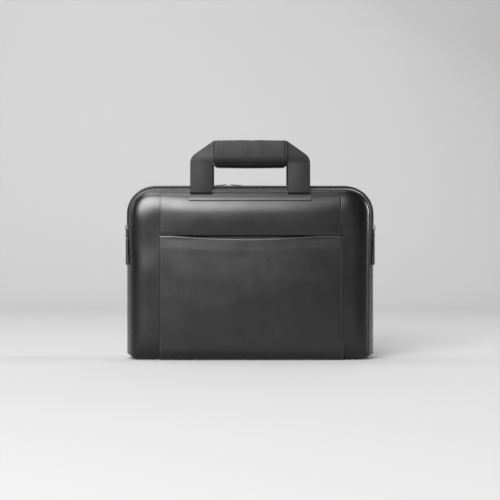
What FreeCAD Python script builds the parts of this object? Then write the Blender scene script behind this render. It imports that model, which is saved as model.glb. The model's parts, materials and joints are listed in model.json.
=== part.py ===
import FreeCAD, Part
import math
import os

# A soft leather briefcase, in millimetres. X runs to the right, Y to the back, Z up.
# The origin is at the middle of the base. The front face looks along -Y.
# The body is an oval tube of gusset between two domed faces. Both faces carry a raised
# centre panel and a carrying handle. Two zips run side by side over the top.

Vector = FreeCAD.Vector

# Body
WIDTH = 400.0
HEIGHT = 281.5
TOP_RADIUS = 47.0
BOTTOM_RADIUS = 12.0
PANEL = 2.5  # leather of the raised centre panels, which the body rests on
LEATHER = 3.0  # gusset leather
SHELL = 2.5  # face leather
HALF_GUSSET = 30.0  # the seams of both faces are at this distance from the middle
SEAM_DROP = 8.0  # how far the seams lie inside the crown of the gusset
CROWN_STATIONS = (-30.0, -20.0, -8.0, 8.0, 20.0, 30.0)
CORNER_TOP = BOTTOM_RADIUS + PANEL

# Piping along the seams of both faces, open under the centre panels
PIPING_RADIUS = 1.6
PIPING_END_X = 152.0

# Domed faces. The rear one is fuller towards its sides and top.
DOME_DEPTH = 12.0
FRONT_DOME = (27.0, 36.5)  # from the seam in to the flat middle, at the sides and at the top
REAR_DOME = (20.0, 28.0)
DOME_BOTTOM = 18.0
DOME_STEPS = 4

# The zips end at ZIP_END_Z, where the front pocket's mouth is too. The upper front folds
# outward at FOLD_Z, so its leather and piping are split there. The rear face leather is
# split at the same height.
ZIP_END_Z = 199.7
FOLD_Z = 220.0
GAP = 0.2  # half of the clearance between pieces that meet at these heights

# Zips
ZIP_Y = 14.0
BAND_EDGE = 6.0  # the leather stops this far from the middle of a zip
TAPE_HALF = 10.0
TAPE = 1.0
COIL_HALF = 3.6
COIL_SLOT = 0.8
COIL_INSET = 0.9
TAPE_TAIL = 6.0  # the tapes are sewn in under the side gussets by this much
MAIN_ZIP_SPLIT_Z = 241.0  # the front half of the main zip stays with the case below this

# Centre panels
PANEL_TOP = 269.0
REAR_PANEL_TOP = 265.2  # lower, so that the rear handle can lean in over the fuller dome
FRONT_PANEL_X = (-144.5, 146.0, 150.5, -145.5)  # top left, top right, bottom right, bottom left
REAR_PANEL_X = (-146.0, 146.0, 148.0, -148.0)
LIP_LEFT = -125.0
LIP_RIGHT = 112.0
LIP_SAG = 5.1
POCKET_HALF = 132.0
POCKET_BOTTOM = 36.0
POCKET_BACK_Y = 37.5
POCKET_WALL = 4.0

# Handles
STRIP_HALF = 98.0
STRIP_Z = (255.0, 265.1)
STRIP = 2.5
HANDLE_HALF = 96.0
LEG_WIDTH = 35.7
LEG_BOTTOM = 265.5
CHAMFER_Z = 325.0
CHAMFER_X = 58.5
HANDLE_TOP = 351.5
HANDLE_INNER_Z = 317.0
STRAP_Y = (41.0, 44.6)
LEG_BEVEL = math.radians(28.0)
GRIP_HALF = 58.2
GRIP_Z = (314.0, 351.2)
GRIP_Y = (32.8, 52.8)
GRIP_BAR_Z = (321.0, 346.0)
GRIP_WRAP = 2.0
GRIP_ROUND = 8.0  # radius of the inner top corner
TAB_SIDE = 1.5  # the legs' sewn-in ends stay this far inside the strip and the legs
TAB_TOP = 1.2

# Inside
LINING = 0.6
LINING_INSET = 4.2
LINING_FACE_Y = 36.3
LINING_HALF = 160.0
LINING_Z = (24.0, 258.0)
GUSSET_LINING_Y = (1.4, 29.8)
DIVIDER_HALF = 1.2
DIVIDER_Z = 6.8
FIT = 0.05  # clearance of the divider in the gusset
REAR_BOARD_HALF = 155.0
REAR_BOARD_Y = (36.6, 39.2)
REAR_BOARD_Z = (30.0, 240.0)
BASE_BOARD_HALF = (178.0, 27.0)
BASE_BOARD_Z = (5.6, 6.6)
SLEEVE_HALF = 170.0
SLEEVE_Y = (-24.0, -1.4)
SLEEVE_Z = (7.4, 232.0)
SLEEVE_WALL = 4.0

# Zip sliders and pulls, laid out on the right side of the body
SLIDER_LENGTH = 11.3
SLIDER_HALF = 4.8
SLIDER_NARROW = 3.9  # half width at the slider's tail
SLIDER_NOSE = 1.6
SLIDER_WIDE_DOWN = (2.0, 4.0)  # the widest part, down from the nose
SLIDER_X = (198.8, 200.3)
LOWER_PLATE_X = (192.7, 193.9)
POST_HALF = 0.55
POST_DOWN = (0.6, 3.2)
FLANGE_X = 197.1
FLANGE_Y = (3.95, 4.8)
BRIDGE_X = 203.0
BRIDGE_HALF = 1.2
BRIDGE_UP = (1.2, 9.6)
BRIDGE_HOLE_X = 202.2
BRIDGE_HOLE_UP = (2.6, 7.4)
PIVOT_X = 201.25
PIVOT_UP = 3.6
PIVOT_RADIUS = 0.7
LOOP_HALF = (1.8, 3.2)  # inner and outer half width of the wire loop
CLASP_X = (199.9, 203.2)
CLASP_HALF = 4.2
CLASP_DOWN = (8.2, 13.4)
PULL_TAB_X = (199.8, 202.4)
PULL_TAB_TAPER = 0.6
PULL_TAB = 45.5
PULL_TAB_HALF = 4.5
MAIN_SLIDER_Z = 207.6
REAR_SLIDER_X = (-36.0, -35.0)

FAR = 400.0


def box(x, y, z):
    """A block between pairs of X, Y and Z."""
    size = [abs(b - a) for a, b in (x, y, z)]
    return Part.makeBox(*size, Vector(min(x), min(y), min(z)))


def prism(points, axis, low, high):
    """A straight prism over an outline in the plane across the axis; three-point tuples are arcs."""
    def place(u, v):
        spots = {"x": (low, u, v), "y": (u, low, v), "z": (u, v, low)}
        return Vector(*spots[axis])

    edges = []
    for start, end in zip(points, points[1:] + points[:1]):
        a = place(*start[-2:])
        b = place(*end[:2])
        if len(end) == 4:
            edges.append(Part.Arc(a, b, place(*end[2:])).toShape())
        else:
            edges.append(Part.makeLine(a, b))
    along = {"x": (1, 0, 0), "y": (0, 1, 0), "z": (0, 0, 1)}[axis]
    return Part.Face(Part.Wire(edges)).extrude(Vector(*along) * (high - low))


def ring(y, half, bottom, top, bottom_radius, top_radius):
    """A rounded rectangle in the plane at y."""
    corners = (
        (half - top_radius, top - top_radius, top_radius, 0),
        (-half + top_radius, top - top_radius, top_radius, 90),
        (-half + bottom_radius, bottom + bottom_radius, bottom_radius, 180),
        (half - bottom_radius, bottom + bottom_radius, bottom_radius, 270),
    )
    arcs = []
    for x, z, radius, start in corners:
        turns = [math.radians(start + step) for step in (0, 45, 90)]
        arcs.append([Vector(x + radius * math.cos(t), y, z + radius * math.sin(t)) for t in turns])
    edges = []
    for this, following in zip(arcs, arcs[1:] + arcs[:1]):
        edges.append(Part.Arc(*this).toShape())
        edges.append(Part.makeLine(this[2], following[0]))
    return Part.Wire(edges)


def crown_drop(y):
    return SEAM_DROP * (1 - math.sqrt(1 - (y / HALF_GUSSET) ** 2))


def gusset_block(inset):
    """The space inside the gusset's outer skin moved inward by inset."""
    rings = []
    for y in CROWN_STATIONS:
        drop = crown_drop(y) + inset
        rings.append(ring(y, WIDTH / 2 - drop, PANEL + inset, HEIGHT - drop,
                          BOTTOM_RADIUS - inset, TOP_RADIUS - drop))
    return Part.makeLoft(rings, True, True)


def gusset_layer(outer, inner, y, z, x=(-FAR, FAR)):
    """A layer of the gusset between two insets, kept inside a block."""
    layer = gusset_block(outer).cut(gusset_block(inner))
    return layer.common(box(x, y, z))


def dome_step(sign, step, inset):
    """Depth and insets from the sides, top and bottom of one ring of a domed face."""
    full_side, full_top = REAR_DOME if sign > 0 else FRONT_DOME
    turn = math.radians(90.0 * step / DOME_STEPS)
    rise = 1 - math.cos(turn)
    depth = HALF_GUSSET + (DOME_DEPTH - inset) * math.sin(turn)
    side = SEAM_DROP + inset + (full_side - inset) * rise
    top = SEAM_DROP + inset + (full_top - inset) * rise
    bottom = inset + (DOME_BOTTOM - inset) * rise
    return depth, side, top, bottom


def dome_block(sign, inset):
    rings = []
    for step in range(DOME_STEPS + 1):
        depth, side, top, bottom = dome_step(sign, step, inset)
        rings.append(ring(sign * depth, WIDTH / 2 - side, PANEL + bottom, HEIGHT - top,
                          BOTTOM_RADIUS - inset, TOP_RADIUS - side))
    return Part.makeLoft(rings, True, True)


def dome_shell(sign):
    return dome_block(sign, 0).cut(dome_block(sign, SHELL))


def skin(sign, inner, outer, x, z):
    """A band on the middle of a face, between two thicknesses over its leather.

    It follows the face from the top seam down, and runs under the base to the middle.
    """
    def line(lift):
        spots = []
        for step in range(DOME_STEPS + 1):
            depth, _, top, _ = dome_step(sign, step, -lift)
            spots.append((sign * depth, HEIGHT - top))
        for step in range(DOME_STEPS, -1, -1):
            depth, _, _, bottom = dome_step(sign, step, -lift)
            spots.append((sign * depth, PANEL + bottom))
        return spots + [(0.0, PANEL - lift)]

    outline = line(inner) + line(outer)[::-1]
    return prism(outline, "x", x[0], x[1]).common(box(x, (-FAR, FAR), z))


def panel_outline(edges, top):
    """The face outline of a centre panel as a deep block."""
    top_left, top_right, bottom_right, bottom_left = edges
    points = [(top_left, top), (top_right, top), (bottom_right, 0.0), (bottom_left, 0.0)]
    return prism(points, "y", -FAR, FAR)


def lip_cutter():
    """Everything over the sagging lip of the front pocket."""
    top = ZIP_END_Z - GAP
    middle = (LIP_LEFT + LIP_RIGHT) / 2
    points = [(-FAR, top), (LIP_LEFT, top), (middle, top - LIP_SAG, LIP_RIGHT, top),
              (FAR, top), (FAR, FAR), (-FAR, FAR)]
    return prism(points, "y", -FAR, FAR)


def seam_cord(sign):
    """The piping along the seam of a face, open under the centre panel."""
    radius = PIPING_RADIUS
    end = PIPING_END_X
    half = WIDTH / 2 - SEAM_DROP
    y = sign * HALF_GUSSET
    outline = ring(y, half, PANEL, HEIGHT - SEAM_DROP, BOTTOM_RADIUS, TOP_RADIUS - SEAM_DROP)
    kept = [edge for edge in outline.Edges if edge.BoundBox.ZMax > PANEL + radius]
    corner = half - BOTTOM_RADIUS
    for side in (-1, 1):
        kept.append(Part.makeLine(Vector(side * end, y, PANEL), Vector(side * corner, y, PANEL)))
    path = Part.Wire(Part.__sortEdges__(kept))
    circle = Part.makeCircle(radius, Vector(-end, y, PANEL), Vector(1, 0, 0))
    return path.makePipeShell([Part.Wire(circle)], True, False)


def save(name, shape):
    """Write one piece, as its single solid or as the group of its separate solids."""
    solids = shape.Solids
    shape = solids[0] if len(solids) == 1 else Part.makeCompound(solids)
    shape.exportStep("parts/%s.step" % name)
    facts = (name, len(shape.Solids), shape.Volume, shape.isValid())
    print("%-26s solids %d  volume %9.1f  valid %s" % facts)


def build_gusset():
    save("base_panel", gusset_layer(0, LEATHER, (-FAR, FAR), (-FAR, CORNER_TOP)))
    side = (CORNER_TOP, ZIP_END_Z - GAP)
    save("side_gusset_left", gusset_layer(0, LEATHER, (-FAR, FAR), side, (-FAR, 0)))
    save("side_gusset_right", gusset_layer(0, LEATHER, (-FAR, FAR), side, (0, FAR)))
    inner = ZIP_Y - BAND_EDGE
    outer = ZIP_Y + BAND_EDGE
    start = ZIP_END_Z - GAP
    save("middle_band", gusset_layer(0, LEATHER, (-inner, inner), (start, FAR)))
    save("rear_band", gusset_layer(0, LEATHER, (outer, FAR), (start, FAR)))
    save("front_band_lower", gusset_layer(0, LEATHER, (-FAR, -outer), (start, FOLD_Z - GAP)))
    save("front_band_upper", gusset_layer(0, LEATHER, (-FAR, -outer), (FOLD_Z + GAP, FAR)))


def build_zip_chain():
    full = (ZIP_END_Z - TAPE_TAIL, FAR)
    fixed = (ZIP_END_Z - TAPE_TAIL, MAIN_ZIP_SPLIT_Z - GAP)
    loose = (MAIN_ZIP_SPLIT_Z + GAP, FAR)

    def tape(sign, side, z):
        near = sign * ZIP_Y + side * COIL_SLOT
        far = sign * ZIP_Y + side * TAPE_HALF
        return gusset_layer(LEATHER, LEATHER + TAPE, (near, far), z)

    def coil(sign, side, z):
        near = sign * ZIP_Y + side * COIL_SLOT
        far = sign * ZIP_Y + side * COIL_HALF
        return gusset_layer(COIL_INSET, LEATHER, (near, far), (max(z[0], ZIP_END_Z), z[1]))

    save("rear_zip_tape_front", tape(1, -1, full))
    save("rear_zip_tape_rear", tape(1, 1, full))
    save("rear_zip_coil_front", coil(1, -1, full))
    save("rear_zip_coil_rear", coil(1, 1, full))
    save("main_zip_tape_rear", tape(-1, 1, full))
    save("main_zip_coil_rear", coil(-1, 1, full))
    save("main_zip_tape_front_lower", tape(-1, -1, fixed))
    save("main_zip_coil_front_lower", coil(-1, -1, fixed))
    save("main_zip_tape_front_upper", tape(-1, -1, loose))
    save("main_zip_coil_front_upper", coil(-1, -1, loose))


def build_faces():
    low = (-FAR, FOLD_Z - GAP)
    high = (FOLD_Z + GAP, FAR)
    everywhere = (-FAR, FAR)
    front = dome_shell(-1)
    window = box((-POCKET_HALF, POCKET_HALF), (-FAR, -HALF_GUSSET), (POCKET_BOTTOM, ZIP_END_Z + GAP))
    front_lower = front.common(box(everywhere, everywhere, low)).cut(window)
    front_upper = front.common(box(everywhere, everywhere, high))
    rear = dome_shell(1)
    save("front_shell_lower", front_lower)
    save("front_shell_upper", front_upper)
    save("rear_shell_lower", rear.common(box(everywhere, everywhere, (-FAR, FOLD_Z))))
    save("rear_shell_upper", rear.common(box(everywhere, everywhere, (FOLD_Z, FAR))))
    tube = gusset_layer(0, LEATHER, everywhere, everywhere)
    front_cord = seam_cord(-1).cut(front).cut(tube)
    save("front_piping_lower", front_cord.common(box(everywhere, everywhere, low)))
    save("front_piping_upper", front_cord.common(box(everywhere, everywhere, high)))
    save("rear_piping", seam_cord(1).cut(rear).cut(tube))


def build_panels():
    across = (-160.0, 160.0)
    front = skin(-1, 0, PANEL, across, (0, PANEL_TOP)).common(panel_outline(FRONT_PANEL_X, PANEL_TOP))
    depth = (-FAR, FAR)
    save("front_yoke_lower", front.common(box(across, depth, (ZIP_END_Z + GAP, FOLD_Z - GAP))))
    save("front_yoke_upper", front.common(box(across, depth, (FOLD_Z + GAP, FAR))))
    save("pocket_front", front.cut(lip_cutter()))
    rear = skin(1, 0, PANEL, across, (0, REAR_PANEL_TOP))
    save("rear_centre_panel", rear.common(panel_outline(REAR_PANEL_X, REAR_PANEL_TOP)))
    inner = DOME_DEPTH + HALF_GUSSET - SHELL
    back = POCKET_BACK_Y
    edge = POCKET_HALF + POCKET_WALL
    top = ZIP_END_Z - GAP
    tray = box((-edge, edge), (-inner, 1 - back), (POCKET_BOTTOM - POCKET_WALL, top))
    hollow = box((-POCKET_HALF, POCKET_HALF), (-FAR, -back), (POCKET_BOTTOM, FAR))
    save("pocket_back", tray.cut(hollow))


def build_inside():
    everywhere = (-FAR, FAR)
    low = (-FAR, ZIP_END_Z - GAP)
    near, far = GUSSET_LINING_Y
    divider = gusset_block(LEATHER + FIT)
    save("divider_panel", divider.common(box(everywhere, (-DIVIDER_HALF, DIVIDER_HALF), (DIVIDER_Z, FAR))))
    save("main_gusset_lining", gusset_layer(LINING_INSET, LINING_INSET + LINING, (-far, -near), low))
    save("rear_gusset_lining", gusset_layer(LINING_INSET, LINING_INSET + LINING, (near, far), low))
    across = (-LINING_HALF, LINING_HALF)
    front = (-LINING_FACE_Y, LINING - LINING_FACE_Y)
    save("front_lining_lower", box(across, front, (LINING_Z[0], FOLD_Z - GAP)))
    save("front_lining_upper", box(across, front, (FOLD_Z + GAP, LINING_Z[1])))
    save("rear_face_lining", box(across, (LINING_FACE_Y - LINING, LINING_FACE_Y), LINING_Z))
    save("rear_board", box((-REAR_BOARD_HALF, REAR_BOARD_HALF), REAR_BOARD_Y, REAR_BOARD_Z))
    half_x, half_y = BASE_BOARD_HALF
    save("base_board", box((-half_x, half_x), (-half_y, half_y), BASE_BOARD_Z))
    sleeve = box((-SLEEVE_HALF, SLEEVE_HALF), SLEEVE_Y, SLEEVE_Z)
    inner = SLEEVE_HALF - SLEEVE_WALL
    room = box((-inner, inner), (SLEEVE_Y[0] + SLEEVE_WALL, 0), (SLEEVE_Z[0] + SLEEVE_WALL, FAR))
    save("laptop_sleeve", sleeve.cut(room))


def grip_outline(inset):
    """A grip's section: a flat outer side, a rounded underside and a rounded inner top corner."""
    inner, outer = GRIP_Y[0] + inset, GRIP_Y[1] - inset
    low, high = GRIP_Z[0] + inset, GRIP_Z[1] - inset
    round_top = GRIP_ROUND - inset
    half = (outer - inner) / 2
    k = round_top * (1 - math.sqrt(0.5))
    return [
        (outer, high), (outer, low + half), ((inner + outer) / 2, low, inner, low + half),
        (inner, high - round_top), (inner + k, high - k, inner + round_top, high),
    ]


def build_handle(name, sign):
    inner_x = HANDLE_HALF - LEG_WIDTH
    outline = [
        (-HANDLE_HALF, LEG_BOTTOM), (-HANDLE_HALF, CHAMFER_Z), (-CHAMFER_X, HANDLE_TOP),
        (CHAMFER_X, HANDLE_TOP), (HANDLE_HALF, CHAMFER_Z), (HANDLE_HALF, LEG_BOTTOM),
        (inner_x, LEG_BOTTOM), (inner_x, HANDLE_INNER_Z), (-inner_x, HANDLE_INNER_Z), (-inner_x, LEG_BOTTOM),
    ]
    near, far = STRAP_Y
    strap = prism(outline, "y", near, far)
    rise = (far - near) * math.tan(LEG_BEVEL)
    high, low = LEG_BOTTOM + rise, LEG_BOTTOM - 1
    bevel = [(far, LEG_BOTTOM), (near, high), (near - 1, high), (near - 1, low), (far, low)]
    strap = strap.cut(prism(bevel, "x", -FAR, FAR))
    middle = (-GRIP_HALF, GRIP_HALF)
    strap = strap.cut(box(middle, (0, FAR), (0, GRIP_BAR_Z[0])))
    strap = strap.cut(box(middle, (0, FAR), (GRIP_BAR_Z[1], FAR)))
    wrap = prism(grip_outline(0), "x", *middle)
    core = prism(grip_outline(GRIP_WRAP), "x", *middle)
    shapes = {"strap": strap, "grip_core": core.cut(strap), "grip_wrap": wrap.cut(core)}
    for part, shape in shapes.items():
        if sign < 0:
            shape = shape.mirror(Vector(0, 0, 0), Vector(0, 1, 0))
        save("%s_handle_%s" % (name, part), shape)
    across = (-STRIP_HALF, STRIP_HALF)
    strip = skin(sign, PANEL, PANEL + STRIP, across, STRIP_Z)
    ends = []
    for side in (-1, 1):
        x = sorted((side * (inner_x + TAB_SIDE), side * (HANDLE_HALF - TAB_SIDE)))
        z = (STRIP_Z[0] + TAB_SIDE, STRIP_Z[1] - TAB_TOP)
        ends.append(skin(sign, PANEL, PANEL + STRIP / 2, x, z))
    tabs = Part.makeCompound(ends)
    save("%s_handle_strip" % name, strip.cut(tabs))
    save("%s_handle_tabs" % name, tabs)


def slider_shape():
    """A zip slider on the right side, with its lower end at z 0 and the zip's middle at y 0."""
    length = SLIDER_LENGTH
    wide = SLIDER_HALF
    narrow = SLIDER_NARROW
    nose = SLIDER_NOSE
    high = length - SLIDER_WIDE_DOWN[0]
    low = length - SLIDER_WIDE_DOWN[1]
    outline = [(-narrow, 0.0), (narrow, 0.0), (wide, low), (wide, high),
               (nose, length), (-nose, length), (-wide, high), (-wide, low)]
    plate = prism(outline, "x", *SLIDER_X)
    lower = prism(outline, "x", *LOWER_PLATE_X)
    post = box((LOWER_PLATE_X[1], SLIDER_X[0]), (-POST_HALF, POST_HALF),
               (length - POST_DOWN[1], length - POST_DOWN[0]))
    edges = [(side * FLANGE_Y[0], side * FLANGE_Y[1]) for side in (-1, 1)]
    flanges = [box((FLANGE_X, SLIDER_X[0]), y, (1.0, low)).common(prism(outline, "x", 0, FAR)) for y in edges]
    bridge = box((SLIDER_X[1], BRIDGE_X), (-BRIDGE_HALF, BRIDGE_HALF), BRIDGE_UP)
    bridge = bridge.cut(box((0, BRIDGE_HOLE_X), (-FAR, FAR), BRIDGE_HOLE_UP))
    whole = plate.multiFuse([lower, post, bridge] + flanges)
    return whole.removeSplitter()


def pull_loop_shape():
    """The wire loop and its clasp, hanging down from the slider's bridge."""
    r = PIVOT_RADIUS
    top, bottom = CLASP_DOWN
    inner, outer = LOOP_HALF
    bar = Part.makeCylinder(r, 2 * outer, Vector(PIVOT_X, -outer, PIVOT_UP), Vector(0, 1, 0))
    arm_z = (PIVOT_UP - top - r, PIVOT_UP)
    arms = [box((PIVOT_X - r, PIVOT_X + r), (side * inner, side * outer), arm_z) for side in (-1, 1)]
    clasp = box(CLASP_X, (-CLASP_HALF, CLASP_HALF), (PIVOT_UP - bottom, PIVOT_UP - top))
    return bar.multiFuse(arms + [clasp]).removeSplitter()


def pull_tab_shape():
    top = PIVOT_UP - CLASP_DOWN[1]
    bottom = top - PULL_TAB
    half = PULL_TAB_HALF
    neck = half - PULL_TAB_TAPER
    outline = [(-neck, top), (-half, bottom + half), (0.0, bottom, half, bottom + half), (neck, top)]
    return prism(outline, "x", *PULL_TAB_X)


def build_sliders():
    """Each zip has two sliders. Those of the open main zip hang at its lower ends."""
    shapes = {"slider": slider_shape(), "pull_loop": pull_loop_shape(), "pull_tab": pull_tab_shape()}
    mirror = (Vector(0, 0, 0), Vector(1, 0, 0))
    for part, shape in shapes.items():
        right = shape.translated(Vector(0, -ZIP_Y, MAIN_SLIDER_Z))
        save("main_%s_right" % part, right)
        save("main_%s_left" % part, right.mirror(*mirror))
        lying = shape.rotated(Vector(0, 0, 0), Vector(0, 1, 0), -90)
        lift = HEIGHT - WIDTH / 2
        left_end, right_start = REAR_SLIDER_X
        save("rear_%s_right" % part, lying.translated(Vector(right_start + SLIDER_LENGTH, ZIP_Y, lift)))
        mirrored = lying.mirror(*mirror)
        save("rear_%s_left" % part, mirrored.translated(Vector(left_end - SLIDER_LENGTH, ZIP_Y, lift)))


def main():
    os.makedirs("parts", exist_ok=True)
    build_gusset()
    build_zip_chain()
    build_faces()
    build_panels()
    build_inside()
    build_handle("front", -1)
    build_handle("rear", 1)
    build_sliders()


main()
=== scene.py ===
import json
import math

import bmesh
import bpy
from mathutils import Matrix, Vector, noise


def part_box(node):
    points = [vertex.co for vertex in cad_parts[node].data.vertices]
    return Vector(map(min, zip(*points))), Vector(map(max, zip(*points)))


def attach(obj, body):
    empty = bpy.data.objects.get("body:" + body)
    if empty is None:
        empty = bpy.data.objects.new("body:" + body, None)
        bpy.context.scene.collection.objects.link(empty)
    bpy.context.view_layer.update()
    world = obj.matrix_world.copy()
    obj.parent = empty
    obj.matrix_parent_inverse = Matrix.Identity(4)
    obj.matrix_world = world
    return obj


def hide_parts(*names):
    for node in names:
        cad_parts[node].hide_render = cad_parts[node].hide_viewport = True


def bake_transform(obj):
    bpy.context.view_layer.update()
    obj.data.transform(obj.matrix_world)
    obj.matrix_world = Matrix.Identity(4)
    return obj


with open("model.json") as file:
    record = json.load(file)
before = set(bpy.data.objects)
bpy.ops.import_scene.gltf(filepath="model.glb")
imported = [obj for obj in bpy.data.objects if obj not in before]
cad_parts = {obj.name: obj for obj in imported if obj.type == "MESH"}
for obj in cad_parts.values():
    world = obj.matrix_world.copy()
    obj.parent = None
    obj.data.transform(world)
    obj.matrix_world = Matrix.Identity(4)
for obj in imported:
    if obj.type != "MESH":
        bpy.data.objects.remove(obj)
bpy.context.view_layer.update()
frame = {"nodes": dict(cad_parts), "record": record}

# ---------------------------------------------------------------- sizes, in metres
CROWN_INSIDE = 0.0003  # the CAD gusset is faceted, so its widest facet lies this far inside the crown
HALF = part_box("side_gusset_right")[1].x + CROWN_INSIDE
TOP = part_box("middle_band")[1].z + CROWN_INSIDE
BODY_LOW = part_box("base_panel")[0].z
SEAM_Y, FACE_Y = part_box("rear_shell_lower")[0].y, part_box("rear_shell_lower")[1].y
ZIP_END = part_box("middle_band")[0].z
ZIP_Y = (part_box("rear_zip_coil_front")[0].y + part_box("rear_zip_coil_rear")[1].y) / 2
BAND_IN, BAND_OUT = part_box("middle_band")[1].y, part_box("rear_band")[0].y
TAPE_IN, TAPE_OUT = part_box("rear_zip_tape_front")[0].y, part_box("rear_zip_tape_rear")[1].y
SEAM_DROP = 0.009  # the crown falls this far from its middle to the seams
CROWN_POWER = 1.45
TOP_RADIUS = 0.047
LOW_RADIUS = 0.010
CORNER_POWER, LOW_CORNER_POWER = 2.12, 2.7  # superellipses, fuller than circles
FRONT_DOME = (0.027, 0.0365)  # from the seam in to the flat middle, at the sides and at the top
REAR_DOME = (0.020, 0.028)
FLANK_LOW = 0.036  # the faces begin to turn under this far above the base
PANEL_LOW = 0.016
PANEL = BODY_LOW  # the centre panels stand this proud, and they lift the body by as much
PANEL_LINE_TOP = 0.2690  # where the line of the face starts under the straps and strips
BULGE = 0.0014
STRAP_LEG = 0.0357
STRAP_CHAMFER = (0.0585, 0.325)  # half width where the slope meets the top, and height where it meets the leg
SHELL_LEATHER, GUSSET_LEATHER, PANEL_LEATHER, CLOTH = 0.0022, 0.0026, 0.0024, 0.0005  # thicknesses

scene = bpy.context.scene


# ---------------------------------------------------------------- materials
def new_material(name):
    material = bpy.data.materials.new(name)
    material.use_nodes = True
    tree = material.node_tree
    return material, tree, tree.nodes["Principled BSDF"]


def texture(tree, kind, scale, vector, **values):
    node = tree.nodes.new(kind)
    node.inputs["Scale"].default_value = scale
    tree.links.new(vector, node.inputs["Vector"])
    for key, value in values.items():
        node.inputs[key.replace("_", " ")].default_value = value
    return node


def ramp(tree, factor, low, high, color_low, color_high):
    """A two-stop colour ramp; plain numbers make a grey one."""
    node = tree.nodes.new("ShaderNodeValToRGB")
    node.color_ramp.elements[0].position = low
    node.color_ramp.elements[1].position = high
    for element, color in zip(node.color_ramp.elements, (color_low, color_high)):
        rgb = (color,) * 3 if isinstance(color, (int, float)) else color
        element.color = (*rgb, 1.0)
    tree.links.new(factor, node.inputs["Fac"])
    return node.outputs["Color"]


def bump(tree, height, strength, distance, normal=None):
    node = tree.nodes.new("ShaderNodeBump")
    node.inputs["Strength"].default_value = strength
    node.inputs["Distance"].default_value = distance
    tree.links.new(height, node.inputs["Height"])
    if normal is not None:
        tree.links.new(normal, node.inputs["Normal"])
    return node.outputs["Normal"]


def object_coordinates(tree):
    return tree.nodes.new("ShaderNodeTexCoord").outputs["Object"]


def leather(name, dark, light, rough=(0.36, 0.5), grain=0.22, gloss=0.5, grain_scale=950):
    """Smooth aniline-dyed leather: pebble grain, pores, faint creases, cloudy colour and worn edges."""
    material, tree, shader = new_material(name)
    where = object_coordinates(tree)
    clouds = texture(tree, "ShaderNodeTexNoise", 14, where, Detail=5.0, Roughness=0.6)
    color = ramp(tree, clouds.outputs["Fac"], 0.34, 0.68, dark, light)
    worn = tree.nodes.new("ShaderNodeNewGeometry").outputs["Pointiness"]
    wear = ramp(tree, worn, 0.5, 0.62, 0.0, 0.55)
    mix = tree.nodes.new("ShaderNodeMix")
    mix.data_type = "RGBA"
    tree.links.new(wear, mix.inputs["Factor"])
    tree.links.new(color, mix.inputs["A"])
    mix.inputs["B"].default_value = (*[2.1 * c for c in light], 1.0)
    tree.links.new(mix.outputs["Result"], shader.inputs["Base Color"])
    patches = texture(tree, "ShaderNodeTexNoise", 38, where, Detail=4.0)
    tree.links.new(ramp(tree, patches.outputs["Fac"], 0.3, 0.72, *rough), shader.inputs["Roughness"])
    cells = texture(tree, "ShaderNodeTexVoronoi", grain_scale, where)
    cells.feature = "SMOOTH_F1"
    pores = texture(tree, "ShaderNodeTexNoise", 2.6 * grain_scale, where, Detail=2.0)
    creases = texture(tree, "ShaderNodeTexNoise", 90, where, Detail=6.0, Roughness=0.7, Distortion=0.6)
    normal = bump(tree, creases.outputs["Fac"], 0.05, 0.0004)
    normal = bump(tree, cells.outputs["Distance"], grain, 0.00022, normal)
    normal = bump(tree, pores.outputs["Fac"], 0.5 * grain, 0.00008, normal)
    tree.links.new(normal, shader.inputs["Normal"])
    shader.inputs["Specular IOR Level"].default_value = gloss
    return material


def woven(name, dark, light, threads=1500, sheen=0.25, rough=0.85):
    """Plain woven cloth: two crossed waves for warp and weft, with uneven threads."""
    material, tree, shader = new_material(name)
    where = object_coordinates(tree)
    heights = []
    for direction in ("X", "Z"):
        wave = texture(tree, "ShaderNodeTexWave", threads / 6.3, where, Distortion=1.2, Detail=2.0)
        wave.bands_direction = direction
        heights.append(wave.outputs["Fac"])
    weave = tree.nodes.new("ShaderNodeMath")
    weave.operation = "MAXIMUM"
    for number, height in enumerate(heights):
        tree.links.new(height, weave.inputs[number])
    tree.links.new(ramp(tree, weave.outputs[0], 0.2, 0.95, dark, light), shader.inputs["Base Color"])
    fuzz = texture(tree, "ShaderNodeTexNoise", 900, where, Detail=3.0)
    roughness = ramp(tree, fuzz.outputs["Fac"], 0.3, 0.7, rough - 0.1, rough + 0.08)
    tree.links.new(roughness, shader.inputs["Roughness"])
    normal = bump(tree, weave.outputs[0], 0.6, 0.0003)
    tree.links.new(bump(tree, fuzz.outputs["Fac"], 0.3, 0.0002, normal), shader.inputs["Normal"])
    shader.inputs["Sheen Weight"].default_value = sheen
    return material


def enamel(name, color, rough=(0.3, 0.42), coat=0.1):
    """Enamelled or plated metal with fine scratches and rubbed edges."""
    material, tree, shader = new_material(name)
    where = object_coordinates(tree)
    rub = ramp(tree, tree.nodes.new("ShaderNodeNewGeometry").outputs["Pointiness"], 0.53, 0.66, 0.0, 0.6)
    mix = tree.nodes.new("ShaderNodeMix")
    mix.data_type = "RGBA"
    mix.inputs["A"].default_value = (*color, 1)
    mix.inputs["B"].default_value = (0.05, 0.05, 0.052, 1)
    tree.links.new(rub, mix.inputs["Factor"])
    tree.links.new(mix.outputs["Result"], shader.inputs["Base Color"])
    smudge = texture(tree, "ShaderNodeTexNoise", 420, where, Detail=5.0, Roughness=0.65)
    tree.links.new(ramp(tree, smudge.outputs["Fac"], 0.3, 0.7, *rough), shader.inputs["Roughness"])
    tree.links.new(bump(tree, smudge.outputs["Fac"], 0.12, 0.0001), shader.inputs["Normal"])
    shader.inputs["Coat Weight"].default_value = coat
    shader.inputs["Coat Roughness"].default_value = 0.12
    return material


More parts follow.
